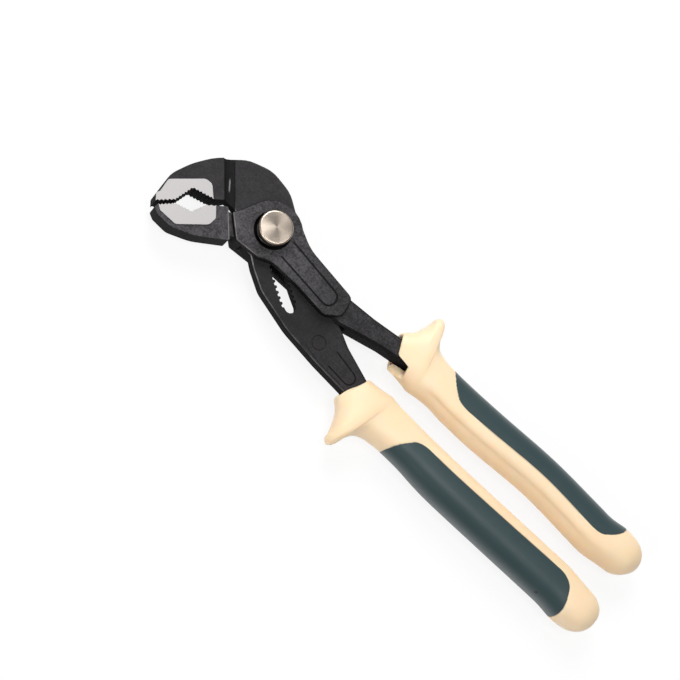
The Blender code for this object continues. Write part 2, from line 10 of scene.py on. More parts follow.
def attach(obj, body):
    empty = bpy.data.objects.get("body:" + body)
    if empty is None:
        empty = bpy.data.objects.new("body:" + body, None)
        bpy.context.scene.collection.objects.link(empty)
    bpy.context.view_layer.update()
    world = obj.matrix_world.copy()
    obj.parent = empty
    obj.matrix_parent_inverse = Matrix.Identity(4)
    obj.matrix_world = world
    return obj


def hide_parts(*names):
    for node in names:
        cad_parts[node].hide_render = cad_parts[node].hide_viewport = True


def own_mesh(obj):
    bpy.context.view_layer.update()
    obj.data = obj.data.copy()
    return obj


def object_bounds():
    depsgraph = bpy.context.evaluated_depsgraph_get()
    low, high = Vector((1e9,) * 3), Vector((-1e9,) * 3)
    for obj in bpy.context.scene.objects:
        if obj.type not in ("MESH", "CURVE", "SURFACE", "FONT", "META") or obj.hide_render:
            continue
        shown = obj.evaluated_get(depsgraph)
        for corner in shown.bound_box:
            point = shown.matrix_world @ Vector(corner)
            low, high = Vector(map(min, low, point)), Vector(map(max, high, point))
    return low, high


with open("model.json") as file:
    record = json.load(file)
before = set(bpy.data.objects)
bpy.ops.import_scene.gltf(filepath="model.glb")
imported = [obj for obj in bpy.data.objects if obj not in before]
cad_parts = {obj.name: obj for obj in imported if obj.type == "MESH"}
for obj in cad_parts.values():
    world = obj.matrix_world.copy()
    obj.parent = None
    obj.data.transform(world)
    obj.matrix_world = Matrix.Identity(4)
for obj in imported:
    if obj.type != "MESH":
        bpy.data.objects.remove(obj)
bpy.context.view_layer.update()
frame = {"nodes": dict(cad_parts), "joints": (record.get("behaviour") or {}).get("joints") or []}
joints = {joint["name"]: joint for joint in frame["joints"]}
pin = np.array(joints["jaw_pivot"]["pos_m"])   # everything below is drawn in mm from the pin's axis
mm = 0.001


# Sockets that take part in sums: an expression on them adds Math nodes
class Wire:
    def __init__(self, paint, socket):
        self.paint = paint
        self.socket = socket

    def sum(self, operation, *others):
        sockets = {i: value for i, value in enumerate((self, *others))}
        return self.paint.node("ShaderNodeMath", {"operation": operation}, sockets)

    def flip(self, operation, other):
        return self.paint.node("ShaderNodeMath", {"operation": operation}, {0: other, 1: self})

    def __add__(self, other):
        return self.sum("ADD", other)

    def __radd__(self, other):
        return self.sum("ADD", other)

    def __sub__(self, other):
        return self.sum("SUBTRACT", other)

    def __rsub__(self, other):
        return self.flip("SUBTRACT", other)

    def __mul__(self, other):
        return self.sum("MULTIPLY", other)

    def __rmul__(self, other):
        return self.sum("MULTIPLY", other)

    def __pow__(self, other):
        return self.sum("POWER", other)

    def __abs__(self):
        return self.sum("ABSOLUTE")

    def most(self, *others):
        # the largest of this and the others
        largest = self
        for other in others:
            largest = largest.sum("MAXIMUM", other)
        return largest

    def step(self, low, high):
        # 0 below low, 1 above high, smooth between; low may be the larger one
        return self.paint.node("ShaderNodeMapRange", {"interpolation_type": "SMOOTHSTEP"},
                               {"Value": self, "From Min": low, "From Max": high})

    def stepMm(self, low, high):
        # the same for a length, with both limits in mm
        return self.step(low * mm, high * mm)


# One material: its shader, and nodes made from a type, settings and sockets
class Paint:
    def __init__(self, name, **fixed):
        self.material = bpy.data.materials.new(name)
        self.material.use_nodes = True
        self.tree = self.material.node_tree
        self.shader = self.tree.nodes["Principled BSDF"]
        for key, value in fixed.items():
            self.shader.inputs[key.replace("_", " ")].default_value = value
        self.place = self.node("ShaderNodeTexCoord", out="Object")

    def node(self, kind, settings=None, sockets=None, out=0):
        made = self.tree.nodes.new(kind)
        for key, value in (settings or {}).items():
            setattr(made, key, value)
        for key, value in (sockets or {}).items():
            socket = made.inputs[key]
            if isinstance(value, Wire):
                self.tree.links.new(value.socket, socket)
            elif socket.type == "RGBA":
                socket.default_value = (*value, 1)
            else:
                socket.default_value = value
        return Wire(self, made.outputs[out])

    def axes(self, source=None):
        first = self.node("ShaderNodeSeparateXYZ", None, {0: source or self.place})
        return [Wire(self, socket) for socket in first.socket.node.outputs]

    def fromPin(self):
        # x, y and z in metres from the pin's axis and mid height
        return [axis - float(start) for axis, start in zip(self.axes(), pin)]

    def noise(self, scale, detail=3.0, rough=0.55, place=None, warp=0.0):
        return self.node("ShaderNodeTexNoise", None,
                         {"Vector": place or self.place, "Scale": scale, "Detail": detail,
                          "Roughness": rough, "Distortion": warp})

    def lines(self, measure):
        # noise along one measure alone, for turning marks
        return self.node("ShaderNodeTexNoise", {"noise_dimensions": "1D"},
                         {"W": measure, "Scale": 1.0, "Detail": 2.0})

    def stretched(self, scale, turn):
        return self.node("ShaderNodeMapping", None,
                         {"Vector": self.place, "Scale": scale, "Rotation": (0, 0, turn)})

    def mix(self, factor, first, second):
        # inputs 6 and 7 and output 2 of a Mix node are its colours
        return self.node("ShaderNodeMix", {"data_type": "RGBA"}, {0: factor, 6: first, 7: second}, 2)

    def rounded(self, radius, samples):
        # corners that catch the light as if rounded to a radius in mm
        return self.node("ShaderNodeBevel", {"samples": samples}, {"Radius": radius * mm})

    def bump(self, height, strength, distance, normal=None):
        # distance in mm
        sockets = {"Height": height, "Strength": strength, "Distance": distance * mm}
        if normal:
            sockets["Normal"] = normal
        return self.node("ShaderNodeBump", None, sockets)

    def feed(self, **links):
        for key, wire in links.items():
            self.tree.links.new(wire.socket, self.shader.inputs[key.replace("_", " ")])
        return self.material


def apart(first, second):
    # distance over two measures at right angles
    return (first ** 2.0 + second ** 2.0) ** 0.5


def band(measure, middle, outer, inner):
    # 1 within inner of the middle, 0 beyond outer, in mm
    return abs(measure - middle * mm).stepMm(outer, inner)


def between(measure, low, high, soft):
    # 1 from low to high, in mm, fading to 0 over the last soft mm at both ends
    return measure.stepMm(low, low + soft) * measure.stepMm(high, high - soft)


# Finishes: lengths in mm from the pin's axis, noise scales per metre
# panel: first and last x, middle y, slope and half width of the engraved panel, which isn't rubbed
# round of painted shade: middle x and y, outer and inner radius
# rim: height above which a chamfer is a rim with wear and painted highlight
# facing of the lit rims: the way that walls whose rims take painted highlight face, and the least share on
# others; fade: x over which wear and painted highlight come in
# jawLine: the way across the line where the jaw ends, and its distance
# hollow: first and last place beside that line, and soft border
# glint: middle, outer and inner half width of the painted highlight streak, across the line and along it
forging = {
    "smooth": {"dark": (0.0154, 0.0143, 0.0155), "pale": (0.0405, 0.0378, 0.0405),
               "grain": 1300.0, "spread": (0.3, 0.78), "coarse": 0.35,
               "panel": (52.0, 70.0, -22.4, 0.0, 5.0), "paintedShadeRound": (24.0, -12.0, 30.0, 14.0),
               "rim": (2.4, 2.56), "highlightFacing": (-0.45, -0.89, 0.3), "fade": (30.0, 4.0),
               "jawLine": (0.796, 0.605, -17.2), "hollow": (-4.7, 1.9, 0.4),
               "glint": ((-1.1, 0.45, 0.1), (18.0, 3.4, 1.5))},
    "grainy": {"dark": (0.018, 0.0167, 0.0182), "pale": (0.088, 0.083, 0.0886),
               "grain": 1150.0, "spread": (0.34, 0.72), "coarse": 1.0,
               "panel": (8.6, 40.2, -0.5, -0.114, 4.8), "paintedShadeRound": (58.0, 0.0, 46.0, 18.0),
               "rim": (5.9, 6.06), "highlightFacing": (-0.5, -0.87, 0.0), "fade": (6.0, -9.0),
               "jawLine": (0.738, 0.675, -18.07), "hollow": None,
               "glint": ((-0.2, 0.3, 0.15), (-3.0, 12.0, 9.0))}}
mottle = {"scale": 170.0, "patch": 38.0, "fleck": 430.0, "grind": 700.0}
# top and before: the height and x past which a face is a ground pad
pads = {"colour": (0.4, 0.385, 0.385), "pale": (0.481, 0.464, 0.464), "rough": 0.58,
        "top": (4.86, 4.94), "before": (-18.3, -18.6)}
# colour and share of the rims' wear with painted highlight; least and far: the share of it that is left
# between patches and far from the jaws
rimWearAndHighlight = {"colour": (0.32, 0.31, 0.305), "share": 0.75, "patches": (0.40, 0.66), "least": 0.45, "far": 0.35,
           "facing": (0.36, 0.5), "panelSoft": 0.2}
# painted shade on walls, chamfers, the hollow, the counterbore and within a round, with its share in that
# round; sink and below: radius and top of the spring's counterbore
shade = {"colour": (0.0030, 0.0027, 0.0031), "paintedShadeRound": 0.42, "sink": (8.35, 8.3), "below": (6.2, 6.1)}
# limits on how far a face's normal points up or down, 1 on a flat and 0 on an upright wall
tilt = {"steeper": (0.45, 0.6), "flatter": (0.93, 0.8), "wall": (0.35, 0.1), "flat": (0.9, 0.99),
        "notFlat": (0.995, 0.98)}


def forgedSteel(name, facts):
    # black forging: grain and mottling, painted shade on walls and in recesses, worn rims with painted
    # highlight on its chamfers, ground pads on its jaw
    paint = Paint(name, Specular_IOR_Level=0.14)
    x, y, z = paint.fromPin()
    normal = paint.axes(paint.node("ShaderNodeNewGeometry", out="True Normal"))
    lean = abs(normal[2])
    chamfer = lean.step(*tilt["steeper"]) * lean.step(*tilt["flatter"])
    onPad = abs(z).stepMm(*pads["top"]) * x.stepMm(*pads["before"])

    # mottled black, with painted shade within a round
    grain = paint.noise(facts["grain"], 2.0, 0.6)
    scale = paint.noise(mottle["scale"], 3.0, 0.6)
    patch = paint.noise(mottle["patch"], 2.0, 0.5)
    fleck = paint.noise(mottle["fleck"], 4.0, 0.7, warp=0.6)
    tone = (grain * 0.5 + fleck * 0.4 + scale * 0.25 + patch * 0.3 - 0.22).step(*facts["spread"])
    black = paint.mix(tone, facts["dark"], facts["pale"])
    midX, midY, outer, inner = facts["paintedShadeRound"]
    paintedShadeRound = apart(x - midX * mm, y - midY * mm).stepMm(outer, inner)
    # painted shade within the round
    black = paint.mix(paintedShadeRound * shade["paintedShadeRound"], black, shade["colour"])

    # wear and painted highlight on the rims of the chamfers, the highlight strongest on those that face one
    # way, but not in the engraved panel
    first, last, level, slope, half = facts["panel"]
    soft = rimWearAndHighlight["panelSoft"]
    engraved = between(x, first, last, soft) * band(y - x * slope, level, half, half - soft)
    wallX, wallY, least = facts["highlightFacing"]
    toward = (normal[0] * wallX + normal[1] * wallY).step(*rimWearAndHighlight["facing"]) * (1 - least) + least
    rim = chamfer * (1 - engraved) * abs(z).stepMm(*facts["rim"]) * toward

    # the line where the jaw ends: a hollow with painted shade and a painted glint on the slotted half, a
    # painted highlight along the jaw's edge on the other
    alongX, alongY, away = facts["jawLine"]
    beside = x * alongX + y * alongY - away * mm
    along = y * alongX - x * alongY
    glintAcross, glintAlong = facts["glint"]
    glint = band(beside, *glintAcross) * band(along, *glintAlong)
    # painted shade in the spring's counterbore round the button
    sunk = apart(x, y).stepMm(*shade["sink"]) * z.stepMm(*shade["below"])
    darker = [sunk, chamfer * 0.7]
    if facts["hollow"]:
        hollow = between(beside, *facts["hollow"]) * lean.step(*tilt["notFlat"])
        glint = glint * hollow
        rim = rim * (1 - hollow)
        darker.append(hollow * 0.7)
    else:
        # painted highlight along the jaw's edge, on its flat faces
        glint = glint * lean.step(*tilt["flat"]) * 0.6
    # painted shade: upright walls, chamfers, the counterbore and, on the slotted half, the hollow; rougher
    # there too
    wall = (lean.step(*tilt["wall"]) * 0.85).most(*darker)

    # wear and painted highlight: rims in patches, fainter far from the jaws, and the painted glint streak
    patchy = scale.step(*rimWearAndHighlight["patches"]) * (1 - rimWearAndHighlight["least"]) + rimWearAndHighlight["least"]
    near = x.stepMm(*facts["fade"]) * (1 - rimWearAndHighlight["far"]) + rimWearAndHighlight["far"]
    wearAndHighlight = (rim * patchy * near).most(glint)
    # the painted shade goes on
    black = paint.mix(wall, black, shade["colour"])
    # wear with painted highlight on the rims
    black = paint.mix(wearAndHighlight * rimWearAndHighlight["share"], black, rimWearAndHighlight["colour"])

    # grinding lines on the pads
    grind = paint.noise(mottle["grind"], 3.0, 0.6, paint.stretched((1.0, 0.06, 1.0), 0.9))
    bright = paint.mix(grind, pads["colour"], pads["pale"])
    colour = paint.mix(onPad, black, bright)
    rough = 0.55 + (grain - 0.5) * 0.25 + wall * 0.35 - wearAndHighlight * 0.3
    rough = rough * (1 - onPad) + (pads["rough"] + (grind - 0.5) * 0.2) * onPad
    height = (grain * facts["coarse"] + scale * 0.5) * (1 - onPad) + grind * onPad * 0.12
    relief = paint.bump(height, 0.4, 0.2, paint.rounded(0.28, 6))
    return paint.feed(Base_Color=colour, Roughness=rough, Metallic=onPad * 0.95 + wearAndHighlight * 0.3, Normal=relief)


nickel = {"colour": (0.475, 0.40, 0.33), "pale": (0.57, 0.495, 0.418), "rings": 5200.0, "cloud": 260.0,
          "rough": 0.24}


def satinNickel():
    # turned cap: fine rings about the pin's axis
    paint = Paint("satinNickel", Metallic=1.0, Anisotropic=0.6)
    x, y = paint.fromPin()[:2]
    rings = paint.lines(apart(x, y) * nickel["rings"])
    cloud = paint.noise(nickel["cloud"], 2.0)
    colour = paint.mix(rings * 0.6 + cloud * 0.4, nickel["colour"], nickel["pale"])
    rough = nickel["rough"] + rings * 0.08 + cloud * 0.04
    return paint.feed(Base_Color=colour, Roughness=rough, Normal=paint.bump(rings, 0.12, 0.05))


bareSteel = {"machined": ((0.30, 0.29, 0.285), (0.52, 0.51, 0.50)),
             # the spring's steel: much darker, painted shade for the spring down in the counterbore
             "shadedSpring": ((0.05, 0.047, 0.045), (0.14, 0.13, 0.12)),
             "lathe": 9000.0, "cloud": 420.0, "rough": 0.3}


def bareMetal(name):
    # bare steel with turning lines, one after another along the pin's axis
    paint = Paint(name + "Steel", Metallic=1.0)
    lathe = paint.lines(paint.axes()[2] * bareSteel["lathe"])
    cloud = paint.noise(bareSteel["cloud"], 3.0)
    colour = paint.mix(lathe * 0.5 + cloud * 0.5, *bareSteel[name])
    relief = paint.bump(lathe, 0.15, 0.05, paint.rounded(0.15, 4))
    return paint.feed(Base_Color=colour, Roughness=bareSteel["rough"] + cloud * 0.2, Normal=relief)


cream = {"colour": (0.875, 0.672, 0.44), "pale": (0.89, 0.697, 0.472), "jointShade": (0.50, 0.33, 0.19),
         "rough": 0.42, "cloud": 55.0, "fine": 1500.0, "parting": (0.16, 0.05), "joint": (0.34, 0.06)}


def creamPlastic():
    # smooth moulding: a faint parting line at mid height, and painted shade along the joint where it meets
    # the inlay
    paint = Paint("creamPlastic", Specular_IOR_Level=0.45, Subsurface_Weight=0.4,
                  Subsurface_Radius=(1.0, 0.5, 0.25), Subsurface_Scale=0.0022)
    joint = paint.node("ShaderNodeAttribute", {"attribute_name": "inlayGap"}, out="Fac")   # in mm
    gap = abs(joint).step(*cream["joint"])
    cloud = paint.noise(cream["cloud"], 2.0)
    fine = paint.noise(cream["fine"], 2.0)
    parting = abs(paint.fromPin()[2]).stepMm(*cream["parting"])
    colour = paint.mix(cloud.step(0.3, 0.7), cream["colour"], cream["pale"])
    # painted shade along the joint with the inlay
    colour = paint.mix(gap * 0.55, colour, cream["jointShade"])
    rough = cream["rough"] + (fine - 0.5) * 0.12 + cloud * 0.05
    relief = paint.bump(fine * 0.10 + parting * 0.35 - gap * 0.8, 0.3, 0.2)
    return paint.feed(Base_Color=colour, Roughness=rough, Normal=relief)


# gate: x, z and radius of the mould's gate mark, a dimple with painted shade in it; gateSide: the y past
# which it shows
softGreen = {"colour": (0.0135, 0.035, 0.0387), "pale": (0.0198, 0.0453, 0.0502), "rough": 0.45,
             "grain": 2400.0, "cloud": 70.0, "gate": (180.6, 4.6, 1.05), "gateSide": (-20.0, -21.0)}


def softInlay():
    # soft rubber: spark-eroded mould grain, a little polish from use, and painted shade in the gate mark's
    # dimple on the left one's side
    paint = Paint("softInlay", Specular_IOR_Level=0.38, Sheen_Weight=0.38, Sheen_Roughness=0.5)
    x, y, z = paint.fromPin()
    gateX, gateZ, gateR = softGreen["gate"]
    mark = apart(x - gateX * mm, z - gateZ * mm).stepMm(gateR, 0.5 * gateR)
    mark = mark * y.stepMm(*softGreen["gateSide"])
    grain = paint.noise(softGreen["grain"], 2.0, 0.5)
    cloud = paint.noise(softGreen["cloud"], 3.0)
    colour = paint.mix(grain * 0.4 + cloud * 0.6, softGreen["colour"], softGreen["pale"])
    # painted shade in the gate mark's dimple
    colour = paint.mix(mark * 0.85, colour, shade["colour"])
    rough = softGreen["rough"] + (cloud - 0.5) * 0.14 + (grain - 0.5) * 0.1
    return paint.feed(Base_Color=colour, Roughness=rough, Normal=paint.bump(grain - mark * 3.0, 0.22, 0.1))


finishes = {"slotted": forgedSteel("blackForgingSmooth", forging["smooth"]),
            "button": forgedSteel("blackForgingGrainy", forging["grainy"]),
            "nickel": satinNickel(), "steel": bareMetal("machined"), "spring": bareMetal("shadedSpring"),
            "cream": creamPlastic(), "green": softInlay()}
print("finishes:", ", ".join(finishes))


# Meshes
def meshFrom(name, points, faces, finish, sharp):
    # points in mm from the pin; edges that bend by more than sharp degrees stay crisp
    mesh = bpy.data.meshes.new(name)
    mesh.from_pydata((np.asarray(points, float) * mm + pin).tolist(), [], faces)
    mesh.materials.append(finish)
    mesh.shade_smooth()
    piece = bpy.data.objects.new(name, mesh)
    bpy.context.scene.collection.objects.link(piece)
    mesh.set_sharp_from_angle(angle=math.radians(sharp))
    return piece


def gridFaces(rows, columns, closed, first=0):
    # quads of a grid stored row by row; closed joins the last column to the first
    wide = columns if closed else columns - 1
    i, j = np.meshgrid(np.arange(rows - 1), np.arange(wide), indexing="ij")
    k = (j + 1) % columns
    quads = np.stack([i * columns + j, i * columns + k, (i + 1) * columns + k, (i + 1) * columns + j], -1)
    return (quads.reshape(-1, 4) + first).tolist()


def turned(faces):
    # the same faces, pointing the other way
    return [tuple(reversed(face)) for face in faces]


def settle(piece, body, node):
    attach(piece, body)
    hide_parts(node)
    print(piece.name, "faces:", len(piece.data.polygons))
    return piece


# Steel pieces: the CAD solids joined up, flat where flat and smooth round their arcs
# each row: node, body, finish, slot and the bend in degrees that stays crisp
steel = {"slottedHalf": ("slotted_half", "slotted_lever", "slotted", "black_forged_steel", 24),
         "buttonHalf": ("button_half", "button_lever", "button", "black_forged_steel", 24),
         "lockPin": ("lock_pin", "lock_pin_body", "steel", "bare_steel", 35),
         "guideBush": ("guide_bush", "button_lever", "steel", "bare_steel", 35)}
# weld in mm, flat in degrees; beside a level face any bend over levelBend degrees stays crisp
joining = {"weld": 0.002, "flat": 0.6, "level": 0.9995, "levelBend": 2}


def steelPiece(name, node, body, finish, slotName, sharp):
    piece = frame["nodes"][node].copy()
    piece.data = piece.data.copy()
    piece.name = name
    bpy.context.scene.collection.objects.link(piece)
    work = bmesh.new()
    work.from_mesh(piece.data)
    bmesh.ops.remove_doubles(work, verts=work.verts, dist=joining["weld"] * mm)
    flat = math.radians(joining["flat"])
    bmesh.ops.dissolve_limit(work, angle_limit=flat, verts=work.verts, edges=work.edges)
    for face in work.faces:
        face.smooth = True
    for edge in work.edges:
        bend = math.degrees(edge.calc_face_angle(math.pi))
        level = any(abs(face.normal.z) > joining["level"] for face in edge.link_faces)
        edge.smooth = bend < (joining["levelBend"] if level else sharp)
    work.to_mesh(piece.data)
    work.free()
    if "custom_normal" in piece.data.attributes:
        piece.data.attributes.remove(piece.data.attributes["custom_normal"])
    piece.data.materials.clear()
    piece.data.materials.append(finishes[finish])
    return settle(piece, body, node)


for name, facts in steel.items():
    steelPiece(name, *facts)


button = {"radius": 7.36, "low": 9.3, "high": 12.0, "crown": 0.24, "shoulder": 0.75, "foot": 0.25,
          "bore": 2.4, "boreTop": 10.8, "around": 128, "crownSteps": 11, "bendSteps": 9, "sharp": 50}


def buttonPiece():
    # a profile of radius and height carried round the pin's axis: a parabola for the crown, a quarter round
    # at the shoulder and at the foot, then in to the bore and up to its top
    radius, low, high, crown = button["radius"], button["low"], button["high"], button["crown"]
    shoulder, foot, bore, boreTop = button["shoulder"], button["foot"], button["bore"], button["boreTop"]
    around = button["around"]
    share = np.linspace(0, 1, button["crownSteps"] + 1)[1:]
    bend = np.linspace(0, math.pi / 2, button["bendSteps"])
    flat = radius - shoulder
    outline = np.concatenate([
        np.stack([flat * share, high - crown * share ** 2], 1),
        np.stack([flat + shoulder * np.sin(bend), high - crown - shoulder * (1 - np.cos(bend))], 1)[1:],
        np.stack([radius - foot * (1 - np.cos(bend)), low + foot * (1 - np.sin(bend))], 1),
        [[bore, low], [bore, boreTop]]])
    turn = np.linspace(0, 2 * math.pi, around, endpoint=False)
    out, height = outline[:, :1], outline[:, 1:]
    ring = np.stack(np.broadcast_arrays(out * np.cos(turn), out * np.sin(turn), height), -1)
    points = np.concatenate([[[0, 0, high]], ring.reshape(-1, 3), [[0, 0, boreTop]]])
    faces = [(0, 1 + j, 1 + (j + 1) % around) for j in range(around)]
    faces += turned(gridFaces(len(outline), around, True, 1))
    last = 1 + (len(outline) - 1) * around
    faces += [(last + (j + 1) % around, last + j, len(points) - 1) for j in range(around)]
    piece = meshFrom("pushButton", points, faces, finishes["nickel"], button["sharp"])
    return settle(piece, "lock_pin_body", "push_button")


# foot and head: radii of the helix; pressed: the share of its height that is left with the button down
coil = {"foot": 6.9, "head": 4.5, "low": 5.1, "high": 8.6, "turns": 3.0, "wire": 0.4,
        "steps": 190, "sides": 14, "pressed": 0.3, "sharp": 50}


def springPiece():
    # a circle carried along a conical helix, pressed flat towards its foot as the button goes down
    t = np.linspace(0, 1, coil["steps"])
    spin = 2 * math.pi * coil["turns"] * t
    radius = coil["foot"] + (coil["head"] - coil["foot"]) * t
    height = coil["low"] + (coil["high"] - coil["low"]) * t
    path = np.stack([radius * np.cos(spin), radius * np.sin(spin), height], 1)
    ahead = np.gradient(path, axis=0)
    ahead /= np.linalg.norm(ahead, axis=1, keepdims=True)
    out = np.stack([np.cos(spin), np.sin(spin), 0 * spin], 1)
    out -= ahead * (out * ahead).sum(1, keepdims=True)
    out /= np.linalg.norm(out, axis=1, keepdims=True)
    up = np.cross(ahead, out)
    side = np.linspace(0, 2 * math.pi, coil["sides"], endpoint=False)[None, :, None]
    tube = path[:, None] + coil["wire"] * (np.cos(side) * out[:, None] + np.sin(side) * up[:, None])
    points = tube.reshape(-1, 3)
    faces = turned(gridFaces(coil["steps"], coil["sides"], True))
    faces += [tuple(range(coil["sides"])), tuple(reversed(range(len(points) - coil["sides"], len(points))))]
    piece = meshFrom("returnSpring", points, faces, finishes["spring"], coil["sharp"])
    settle(piece, "pin_seat", "return_spring")
    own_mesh(piece)


buttonPiece()
springPiece()


# Sleeves and inlays: one skin, a function of place along the handle and turn about it
# width, thick and guard are half sizes; square is the section's power; cap rows are places back from the end
grip = {"width": 10.0, "thick": 8.5, "guard": 22.3, "square": 2.5,
        "capRows": (14.0, 7.0, 3.0, 0.9, 0.0), "capPower": 2.4, "capLeast": 0.02}
# wrap: the inlay's turn each way in degrees at its front, middle and rear
# ends: how far its front and rear lie from guardX and endX, then how far the two noses bow
# noses: powers of the two noses
# cap: inner and outer share at the round end, and how much shorter its inner side is
# rows: x from guardX, or from endX if negative, then inner, outer and thickness as shares of the half sizes
# socket: middle y and half sizes of the mouth's hole
# notch: rows by which the mouth steps back, and the turns where that starts, is full and ends
# crease: middle turn, near and far half width in degrees, depth
handles = {
    "left": {"guardX": 74.6, "endX": 209.8, "axisY": -27.3, "side": -1, "body": "slotted_lever",
             "wrap": (104.5, 107.0, 113.0), "ends": (19.4, 16.0, 19.0, 18.0), "noses": (2.8, 3.4),
             "cap": (0.88, 1.12, 0.0),
             "rows": [(28.0, 1.00, 0.88, 0.93), (46.0, 0.96, 1.02, 1.0), (75.0, 0.98, 1.03, 1.0),
                      (-32.0, 1.00, 1.02, 1.0), (-23.0, 0.99, 1.03, 1.0)],
             "socket": (-24.7, 5.7, 3.4), "notch": None, "crease": None},
    "right": {"guardX": 78.2, "endX": 211.3, "axisY": 3.2, "side": 1, "body": "button_lever",
              "wrap": (99.8, 95.4, 99.8), "ends": (17.5, 15.0, 23.0, 22.0), "noses": (3.4, 3.4),
              "cap": (0.95, 0.99, 2.4),
              "rows": [(28.0, 1.10, 0.86, 0.93), (46.0, 1.09, 0.89, 1.0), (75.0, 0.93, 1.00, 1.0),
                       (-32.0, 1.06, 0.91, 1.0), (-23.0, 1.08, 0.875, 1.0)],
              "socket": (1.8, 4.9, 4.8), "notch": (1.42, (106.0, 124.0, 168.0, 204.0)),
              "crease": (139.0, 10.0, 22.0, 0.6)}}


def skinRows(facts):
    # inner x, outer x, then inner, outer and thickness as shares of the half sizes: guard, body, round end
    reach = grip["guard"] / grip["width"]
    rows = [(-3.4, -8.8, 1.02, 0.62, 0.72), (0.8, -5.2, 1.04, 1.00, 0.83),
            (5.2, -2.7, 1.10, reach * 0.76, 0.93), (6.6, -2.0, 1.13, reach * 0.93, 0.96),
            (8.0, 0.0, 1.16, reach, 0.965), (9.4, 2.1, 1.14, reach * 0.93, 0.935),
            (10.8, 3.3, 1.12, reach * 0.75, 0.895), (14.0, 7.0, 1.07, 1.11, 0.875),
            (20.0, 15.0, 1.04, 0.90, 0.885)]
    rows = [(facts["guardX"] + a, facts["guardX"] + b, c, d, e) for a, b, c, d, e in rows]
    for place, inner, outer, thick in facts["rows"]:
        x = place + (facts["guardX"] if place > 0 else facts["endX"])
        rows.append((x, x, inner, outer, thick))
    inner, outer, slant = facts["cap"]
    power = grip["capPower"]
    for back in grip["capRows"]:
        near = 1 - back / grip["capRows"][0]
        share = max(1 - near ** power, grip["capLeast"]) ** (1 / power)
        x = facts["endX"] - back
        rows.append((x - slant * share * near, x, inner * share, outer * share, share))
    return np.array(rows)


def alongRows(rows, u):
    # cubic curve through the rows at places u, each row's slope taken from its two neighbours
    i = np.clip(np.floor(u).astype(int), 0, len(rows) - 2)
    f = (u - i)[..., None]
    p, q, r, s = (rows[np.clip(i + k, 0, len(rows) - 1)] for k in (-1, 0, 1, 2))
    return q + 0.5 * f * (r - p + f * (2 * p - 5 * q + 4 * r - s + f * (3 * (q - r) + s - p)))


def skin(rows, u, turn, height, facts):
    # superellipse section: turn 0 is the outer side, a quarter turn is the button side
    row = alongRows(rows, u)
    inner = row[..., 2] * grip["width"] + height
    outer = row[..., 3] * grip["width"] + height
    power = 2 / grip["square"]
    c = np.sign(np.cos(turn)) * np.abs(np.cos(turn)) ** power
    s = np.sign(np.sin(turn)) * np.abs(np.sin(turn)) ** power
    x = (row[..., 0] + row[..., 1]) / 2 + (row[..., 1] - row[..., 0]) / 2 * c
    y = facts["axisY"] + facts["side"] * ((outer - inner) / 2 + (outer + inner) / 2 * c)
    return np.stack([x, y, (row[..., 4] * grip["thick"] + height) * s], -1)


def ease(share):
    # smooth step from 0 to 1
    share = np.clip(share, 0, 1)
    return share * share * (3 - 2 * share)


def signedTurn(turn):
    # the same turn between minus and plus half a turn
    return (turn + math.pi) % (2 * math.pi) - math.pi


# radius turns an angle into mm; lastTurn ends the sine spacing across; samples find places along
inlay = {"radius": 9.3, "proud": 0.10, "edge": 0.42, "edgeSteps": 6, "deep": 1.2, "across": 81, "along": 240,
         "lastTurn": 89.6, "samples": 3000, "sharp": 60}


def inlayEnds(share, facts):
    # front and rear x of the inlay's outline at a share of its wrap, a superellipse nose at each end
    front, rear, frontBow, rearBow = facts["ends"]
    share = np.clip(np.abs(share), 0, 1)
    frontBow, rearBow = (deep * (1 - (1 - share ** power) ** (1 / power))
                         for deep, power in zip((frontBow, rearBow), facts["noses"]))
    return facts["guardX"] + front + frontBow, facts["endX"] - rear - rearBow


def inlayWide(x, facts):
    # wrap each way in radians: the parabola through its values at the front, middle and rear
    first, last = inlayEnds(0, facts)
    f = np.clip((x - first) / (last - first), 0, 1)
    front, middle, rear = np.radians(facts["wrap"])
    return front * (1 - f) * (1 - 2 * f) + middle * 4 * f * (1 - f) + rear * f * (2 * f - 1)


def inlayBorder(share, x, facts):
    # distance in mm to the inlay's outline, positive inside: the least of across, to the front, to the rear
    first, last = inlayEnds(share, facts)
    across = (1 - np.abs(share)) * inlayWide(x, facts) * inlay["radius"]
    return np.minimum(across, np.minimum(x - first, last - x))


# stops and steps: rows where the spacing of the rings changes, and the rings in each stretch
# notchRows: rows over which the notch runs out; farOut marks the mouth as no joint
# seat: where the inlay's bed starts inside its outline, the width of its slope, the room under the inlay
# creaseEnds: start after guardX and rise, stop before endX and fall
sleeve = {"around": 180, "stops": (10, 13), "steps": (110, 69, 40), "lip": 0.7, "lipRings": 7,
          "mouthDeep": 9.0, "mouthPower": 9, "notchRows": 4, "seat": (0.5, 0.8, 0.2),
          "creaseEnds": (9.0, 12.0, 16.0, 24.0), "farOut": -9.0, "sharp": 55}


def creaseDeep(rows, u, turn, facts):
    # soft crease along both faces of the inner side: a bell over the turn, wider on its far side, that fades
    # at both ends
    middle, near, far, deep = facts["crease"]
    start, rise, stop, fall = sleeve["creaseEnds"]
    x = alongRows(rows, u)[..., 0]
    past = np.degrees(np.abs(signedTurn(turn))) - middle
    bell = np.exp(-(past / np.where(past < 0, near, far)) ** 2)
    fadeIn = np.clip((x - facts["guardX"] - start) / rise, 0, 1)
    fadeOut = np.clip((facts["endX"] - stop - x) / fall, 0, 1)
    return deep * bell * ease(fadeIn * fadeOut)


